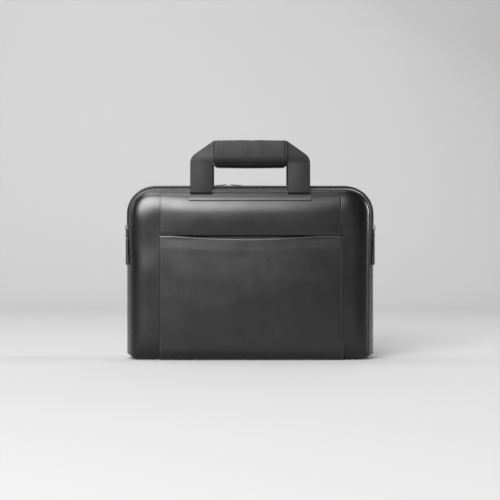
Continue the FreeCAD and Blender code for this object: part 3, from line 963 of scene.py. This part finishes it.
def build_strap(name, sign, body):
    """A strap whose feet are tucked under the strip, where they follow the face."""
    low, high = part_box("rear_handle_strap")
    thick = high.y - low.y
    foot_z = low.z
    face = Face(sign, PANEL + 0.0002, PANEL_LINE_TOP)
    shape = strap_outline()
    strap = plate(name + "_strap_leather", shape, thick, "handle_leather", 0.0008, lambda u, v, w: (u, w, v))
    mesh = bmesh.new()
    mesh.from_mesh(strap.data)
    cuts = [foot_z - 0.008 + i * 0.0013 for i in range(16)] + [0.285, 0.300, 0.314, 0.330, 0.342]
    for height in cuts:
        geometry = list(mesh.verts) + list(mesh.edges) + list(mesh.faces)
        bmesh.ops.bisect_plane(mesh, geom=geometry, plane_co=(0, 0, height), plane_no=(0, 0, 1))
    for vert in mesh.verts:
        depth = vert.co.y / thick
        z = vert.co.z
        root, _ = face.at(face.share_at(min(z, PANEL_LINE_TOP - 0.0005)))
        tucked = abs(root.y) + depth * 0.0013
        standing = low.y + depth * thick
        t = smooth01((z - foot_z + 0.0012) / 0.005)
        bow = 0.0006 * math.sin(math.pi * min(1.0, max(0.0, (z - foot_z) / 0.05)))
        vert.co.y = sign * (lerp(tucked, standing, t) + bow)
    bmesh.ops.recalc_face_normals(mesh, faces=mesh.faces)
    mesh.to_mesh(strap.data)
    mesh.free()
    shade(strap.data, 32)
    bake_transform(strap)
    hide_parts(name + "_handle_strap", name + "_handle_tabs")
    keep(stitches(name + "_strap_stitching", strap_lines(sign)), "handle_leather", body)

def build_handle_strip(name, sign, body):
    low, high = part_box(name + "_handle_strip")
    face = Face(sign, PANEL, PANEL_LINE_TOP)
    start, end = face.share_at(high.z), face.share_at(low.z)

    def spot(u, v):
        x = lerp(low.x, high.x, u)
        here, normal = face.at(lerp(start, end, v))
        across = 1 - abs(x / 0.146) ** 3
        lift = 0.0024 + 0.0003 * math.sin(math.pi * v) + swell(sign, here.z) * across
        return Vector((x, 0, 0)) + here + normal * lift

    strip = sheet_piece(name + "_strip_leather", spot, 150, 10, "trim_leather", 0.0020, 0.0006, flip=sign < 0)
    keep(strip, "trim_leather", body, name + "_handle_strip")
    outward = face_outward(sign)
    lines = [surface_line(spot, stops_between((0.012, v), (0.988, v), 200), outward) for v in (0.2, 0.82)]
    lines += [surface_line(spot, stops_between((u, 0.2), (u, 0.82), 12), outward) for u in (0.012, 0.988)]
    keep(stitches(name + "_strip_stitching", lines), "trim_leather", body)


# ---------------------------------------------------------------- sliders and pulls
MM = 0.001
SLIDER_SINK = crown_drop(ZIP_Y) - 2.0 * MM  # how far the sliders follow the crown down
PIVOT_RISE = 1.3 * MM + SLIDER_SINK  # the pulls turn about an axis this far above a slider's face

def on_side(sign, y, z, tilt):
    """Places a part laid out on a plane (u along the zip, v across, w outward) on a side of the body."""
    c, s = math.cos(tilt), math.sin(tilt)
    return lambda u, v, w: Vector((sign * (HALF + w * c + v * s), y + v * c + w * s, z + u))

def on_top(sign, x, y, tilt):
    """The same on top of the body, with u running towards the middle."""
    c, s = math.cos(tilt), math.sin(tilt)
    return lambda u, v, w: Vector((x - sign * u, y + v * c + w * s, TOP + w * c - v * s))

def sunk(place):
    """The same place, lowered as the crown falls there."""
    return lambda u, v, w: place(u, v, w - SLIDER_SINK)

def wire(name, points, place, closed=False):
    return tube_piece(name, [place(*p) for p in points], 0.62 * MM, "hardware", closed=closed)

def oblong(start, end, half):
    return [(start, -half), (end, -half), (end, half), (start, half)]

def both_sides(half):
    """An outline from its upper half."""
    return half + [(u, -v) for u, v in half[::-1]]

def build_slider(name, place):
    """Two plates held apart by a post and walls, with a bridge for the pull and a small stop."""
    def part(label, shape, thickness, bevel, lift):
        return plate(name + label, shape, thickness, "hardware", bevel, lambda u, v, w: place(u, v, w + lift))

    length, wide, narrow = 11.3 * MM, 4.3 * MM, 3.5 * MM
    shape = both_sides([(0.0, narrow - MM), (MM, narrow), (7.2 * MM, wide), (9.4 * MM, wide - 0.1 * MM),
                        (10.5 * MM, wide - 1.6 * MM), (length, 1.2 * MM)])
    arch = []
    for i in range(17):
        t = math.pi * i / 16
        arch.append(((5.4 - 3.7 * math.cos(t)) * MM, 0.0, (0.1 + 4.1 * max(0.0, math.sin(t)) ** 0.7) * MM))
    parts = [part("_top", shape, 1.4 * MM, 0.4 * MM, -1.1 * MM),
             part("_low", shape, 1.1 * MM, 0.3 * MM, -6.8 * MM),
             part("_post", oblong(8.1 * MM, 10.6 * MM, 0.5 * MM), 5.2 * MM, 0.1 * MM, -6.0 * MM),
             wire(name + "_bridge", arch, place),
             part("_knob", oblong(0.9 * MM, 3.0 * MM, 1.3 * MM), 0.7 * MM, 0.2 * MM, 0.2 * MM)]
    for side in (-1, 1):
        wall = [(1.2 * MM, side * 2.9 * MM), (7.2 * MM, side * 3.6 * MM), (8.2 * MM, side * 4.1 * MM),
                (1.2 * MM, side * 3.5 * MM)]
        parts.append(part("_wall%d" % side, wall, 1.9 * MM, 0.2 * MM, -2.9 * MM))
    keep(join(name + "_body", parts), "hardware", name, name)

def build_pull(name, place, droop=0.0):
    """A wire loop, a clasp and a stitched leather tab, which may lie lower than the loop."""
    def part(label, shape, thickness, slot, bevel, lift):
        return plate(name + label, shape, thickness, slot, bevel, lambda u, v, w: place(u, v, w + lift))

    pivot = 3.6 * MM
    loop = []
    for i in range(28):
        t = 2 * math.pi * i / 28
        c, s = math.cos(t), math.sin(t)
        u = pivot - 5.0 * MM + 5.0 * MM * math.copysign(abs(c) ** 0.55, c)
        loop.append((u, 2.6 * MM * math.copysign(abs(s) ** 0.55, s), PIVOT_RISE))
    top, low = pivot - 7.6 * MM, pivot - 13.4 * MM
    clasp = both_sides([(low, 3.9 * MM), (top - 1.6 * MM, 4.1 * MM), (top, 2.6 * MM)])
    rivet = []
    for i in range(16):
        t = 2 * math.pi * i / 16
        rivet.append((low + 2.7 * MM + 1.2 * MM * math.cos(t), 1.2 * MM * math.sin(t)))
    metal = join(name.replace("pull", "pull_ring"), [
        wire(name + "_ring", loop, place, closed=True),
        part("_clasp", clasp, 2.8 * MM, "hardware", 0.6 * MM, 0.5 * MM - 0.6 * droop),
        part("_stud", rivet, 0.8 * MM, "hardware", 0.3 * MM, 3.0 * MM - 0.6 * droop)])
    keep(metal, "hardware", name, name.replace("pull", "pull_loop"))
    foot, half = low - 45.5 * MM, 4.5 * MM
    shape = [(low + 1.5 * MM, -3.6 * MM), (low + 1.5 * MM, 3.6 * MM), (low - 4 * MM, half - 0.2 * MM)]
    for i in range(13):
        t = math.pi * i / 12
        shape.append((foot + half * (1 - math.sin(t)) * 0.8, half * math.cos(t)))
    shape.append((low - 4 * MM, -half + 0.2 * MM))
    tab = part("_tab", shape, 2.4 * MM, "pull_leather", 0.5 * MM, 0.35 * MM - droop)
    keep(tab, "pull_leather", name, name.replace("pull", "pull_tab"))
    inner = half - 1.1 * MM
    side = [(low - 0.8 * MM, inner), (foot + 4.0 * MM, inner), (foot + 1.9 * MM, inner * 0.6)]
    stops = [(u, -v) for u, v in side] + [(foot + 1.2 * MM, 0.0)] + side[::-1]
    normal = (place(0, 0, MM) - place(0, 0, 0)).normalized()
    edge = []
    for (u0, v0), (u1, v1) in zip(stops, stops[1:]):
        for i in range(14):
            edge.append((place(lerp(u0, u1, i / 14), lerp(v0, v1, i / 14), 2.8 * MM - droop), normal))
    thread = stitches(name + "_stitching", [edge], pitch=0.0024, gap=0.0007, width=0.0002)
    keep(thread, "pull_leather", name)

def build_sliders():
    tilt = math.radians(13.0)
    for label, sign in (("left", -1), ("right", 1)):
        place = sunk(on_side(sign, -ZIP_Y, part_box("main_slider_" + label)[0].z, tilt))
        build_slider("main_slider_" + label, place)
        build_pull("main_pull_" + label, place)
        low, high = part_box("rear_slider_" + label)
        place = sunk(on_top(sign, high.x if sign > 0 else low.x, ZIP_Y, tilt))
        build_slider("rear_slider_" + label, place)
        build_pull("rear_pull_" + label, place, droop=0.00145)

# ---------------------------------------------------------------- inside
def pad(name, low, high):
    """A block of padding with rounded edges."""
    shape = [(low[0], low[2]), (high[0], low[2]), (high[0], high[2]), (low[0], high[2])]
    return plate(name, shape, high[1] - low[1], "padding", 0.0012, lambda u, v, w: (u, low[1] + w, v))

def build_face_lining(name, sign, body, nodes):
    depth = abs(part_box("rear_face_lining")[0].y)
    rows = []
    for i in range(9):
        turn = math.pi / 2 * i / 8
        rise = 1 - math.cos(turn)
        y = sign * (SEAM_Y - 0.0005 + (depth - SEAM_Y) * math.sin(turn))
        shrink = SEAM_DROP + 0.0034 + 0.018 * rise
        low = BODY_LOW + 0.0042 + 0.014 * rise
        rows.append(ring(y, HALF - shrink, low, TOP - shrink, 0.008, TOP_RADIUS - shrink + 0.004))
    centre = Vector((0, sign * depth, 0.14))
    for i in range(1, 15):
        rows.append([p.lerp(centre, i / 15 * 0.985) for p in rows[8]])
    points = [p + Vector((0, sign * ripple(p, 0.03, 0.0004, 6.0), 0)) for row in rows for p in row]
    faces = grid_faces(len(rows), len(rows[0]), closed=True, flip=sign > 0)
    lining = settle(make(name + "_lining_cloth", points, faces, "lining"), CLOTH)
    keep(lining, "lining", body, *nodes)

def build_gusset_lining(name, y0, y1):
    place = (0.0043, ZIP_END - 0.002)  # how far inside the gusset it lies, and where it ends
    spot = strip_spot(y0, y1, *place, route_of=under_the_base, wave=0.0)
    cloth = sheet_piece(name + "_gusset_cloth", spot, 150, 8, "lining", CLOTH, 0.0)
    under_the_base(y0, *place).length + 0.002
    keep(cloth, "lining", "case", name + "_gusset_lining")

def build_pocket_cloth():
    """The inner wall of the slip pocket, which lies further back than its sewn edges."""
    low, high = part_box("pocket_back")

    def spot(u, v):
        x, z = lerp(low.x, high.x, u), lerp(high.z, low.z, v)
        inward = smooth01(min(u, 1 - u, 1 - v) * 12)
        y = lerp(low.y + 0.0003, high.y - 0.0002, inward) + ripple(Vector((x, 0, z)), 0.03, 0.0003)
        return Vector((x, y, z))

    cloth = sheet_piece("slip_pocket_cloth", spot, 80, 60, "lining", CLOTH, 0.0, flip=True)
    keep(cloth, "lining", "case", "pocket_back")

def build_divider():
    flat = [(p.x, max(p.z, 0.0068)) for p in gusset_ring(0.0, 0.0034)]
    thick = 0.0024
    divider = plate("divider_cloth", flat, thick, "padding", 0.0007, lambda u, v, w: (u, w - thick / 2, v), 2)
    keep(divider, "padding", "case", "divider_panel")

def build_sleeve():
    """The padded laptop sleeve, open at the top, with a bound front edge."""
    low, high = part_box("laptop_sleeve")
    wall = 0.004

    def front(u, v):
        fullness = 0.0009 * (1 - (2 * u - 1) ** 8) * (1 - (2 * v - 1) ** 8)
        y = low.y - fullness + ripple(Vector((u, 0, v)), 0.2, 0.0004)
        return Vector((lerp(low.x, high.x, u), y, lerp(high.z, low.z, v)))

    pads = [sheet_piece("sleeve_front", front, 60, 44, "padding", wall, 0.0014, flip=True),
            pad("sleeve_left", (low.x, low.y + wall, low.z), (low.x + wall, high.y, high.z)),
            pad("sleeve_right", (high.x - wall, low.y + wall, low.z), (high.x, high.y, high.z)),
            pad("sleeve_base", (low.x + wall, low.y + wall, low.z), (high.x - wall, high.y, low.z + wall))]
    sleeve = join("laptop_sleeve_pad", pads)
    keep(sleeve, "padding", "case", "laptop_sleeve")
    rim = [Vector((lerp(low.x, high.x, i / 60), low.y + wall / 2, high.z)) for i in range(61)]
    binding = tube_piece("laptop_sleeve_binding", rim, 0.0026, "trim_leather", sides=12)
    keep(binding, "trim_leather", "case")

def build_inside():
    build_face_lining("front", -1, None, halves("front_lining"))
    build_face_lining("rear", 1, "case", ["rear_face_lining"])
    build_gusset_lining("main", -SEAM_Y + 0.0008, -0.0016)
    build_gusset_lining("rear", 0.0016, SEAM_Y - 0.0008)
    build_pocket_cloth()
    build_divider()
    build_sleeve()

def dress_frame():
    """Materials for the CAD pieces that stay."""
    slots = {part["node"]: part["material_slot"] for part in frame["record"]["subparts"]}
    for name, obj in frame["nodes"].items():
        material = MATERIALS[slots[name]]
        if not obj.material_slots:
            obj.data.materials.append(material)
        for holder in obj.material_slots:
            holder.material = material


# ---------------------------------------------------------------- stage, light and camera
def stage_material():
    """Matte pale paper, fading to grey far in front."""
    material, tree, shader = new_material("stage")
    split = tree.nodes.new("ShaderNodeSeparateXYZ")
    tree.links.new(object_coordinates(tree), split.inputs["Vector"])
    reach = tree.nodes.new("ShaderNodeMapRange")
    reach.inputs["From Min"].default_value = -1.9
    reach.inputs["From Max"].default_value = -1.2
    tree.links.new(split.outputs["Y"], reach.inputs["Value"])
    tree.links.new(ramp(tree, reach.outputs["Result"], 0.0, 1.0, 0.08, 0.35), shader.inputs["Base Color"])
    shader.inputs["Roughness"].default_value = 0.9
    return material


def build_stage():
    """A pale floor that curves up into a plain backdrop."""
    MATERIALS["stage"] = stage_material()
    profile = [(-6.0, 0.0), (1.6, 0.0)]
    for i in range(1, 17):
        t = math.pi / 2 * i / 16
        profile.append((1.6 + 1.2 * math.sin(t), 1.2 * (1 - math.cos(t))))
    profile.append((2.8, 5.0))
    verts = [Vector((x, y, z)) for y, z in profile for x in (-6.0, 6.0)]
    floor = make("studio_floor", verts, grid_faces(len(profile), 2), "stage")
    shade(floor.data, 50)


def area_light(name, where, target, size, power, shape_ratio=1.0):
    data = bpy.data.lights.new(name, "AREA")
    data.shape = "RECTANGLE"
    data.size = size
    data.size_y = size * shape_ratio
    data.energy = power
    light = add_object(name, data)
    light.location = where
    light.rotation_euler = (Vector(target) - Vector(where)).to_track_quat("-Z", "Y").to_euler()


def build_light():
    """A high softbox in front on the left, weaker ones all round, and one for the backdrop."""
    world = bpy.data.worlds.new("studio")
    scene.world = world
    world.use_nodes = True
    background = world.node_tree.nodes["Background"]
    background.inputs["Color"].default_value = (0.9, 0.91, 0.92, 1)
    background.inputs["Strength"].default_value = 0.04
    area_light("key", (-1.05, -3.0, 1.72), (0, 0, 0.25), 2.1, 225, 0.82)
    area_light("overhead", (-0.6, -0.9, 2.2), (0, 0, 0.2), 1.3, 28, 0.7)
    area_light("rim", (2.3, 0.1, 0.8), (0.1, 0, 0.15), 0.4, 42, 2.2)
    area_light("left", (-2.4, 0.2, 1.0), (0, 0, 0.2), 0.7, 12, 1.8)
    area_light("back", (0.9, 2.3, 1.7), (0, 0, 0.2), 1.0, 8)
    area_light("backdrop", (-1.0, 0.9, 2.9), (-0.8, 2.9, 1.0), 2.6, 84)
    scene.view_settings.view_transform = "Standard"


def build_camera():
    data = bpy.data.cameras.new("camera")
    data.sensor_width = 36.0
    data.lens = 85.896
    data.shift_x = -0.0004
    data.shift_y = 0.0048
    data.clip_end = 30
    camera = add_object("camera", data)
    camera.location = (0.0, -1.952, 0.1728)
    camera.rotation_euler = (math.radians(90), 0, 0)
    scene.camera = camera


# ---------------------------------------------------------------- build
dress_frame()
build_gusset()
build_lower_gusset()
build_faces()
build_front_panels()
build_rear_panel()
for label, side, carrier in (("front", -1, "front_upper"), ("rear", 1, "case")):
    build_handle_strip(label, side, carrier)
    build_strap(label, side, label + "_handle")
    build_grip(label, side, label + "_handle")
build_sliders()
build_inside()
build_stage()
build_light()
build_camera()
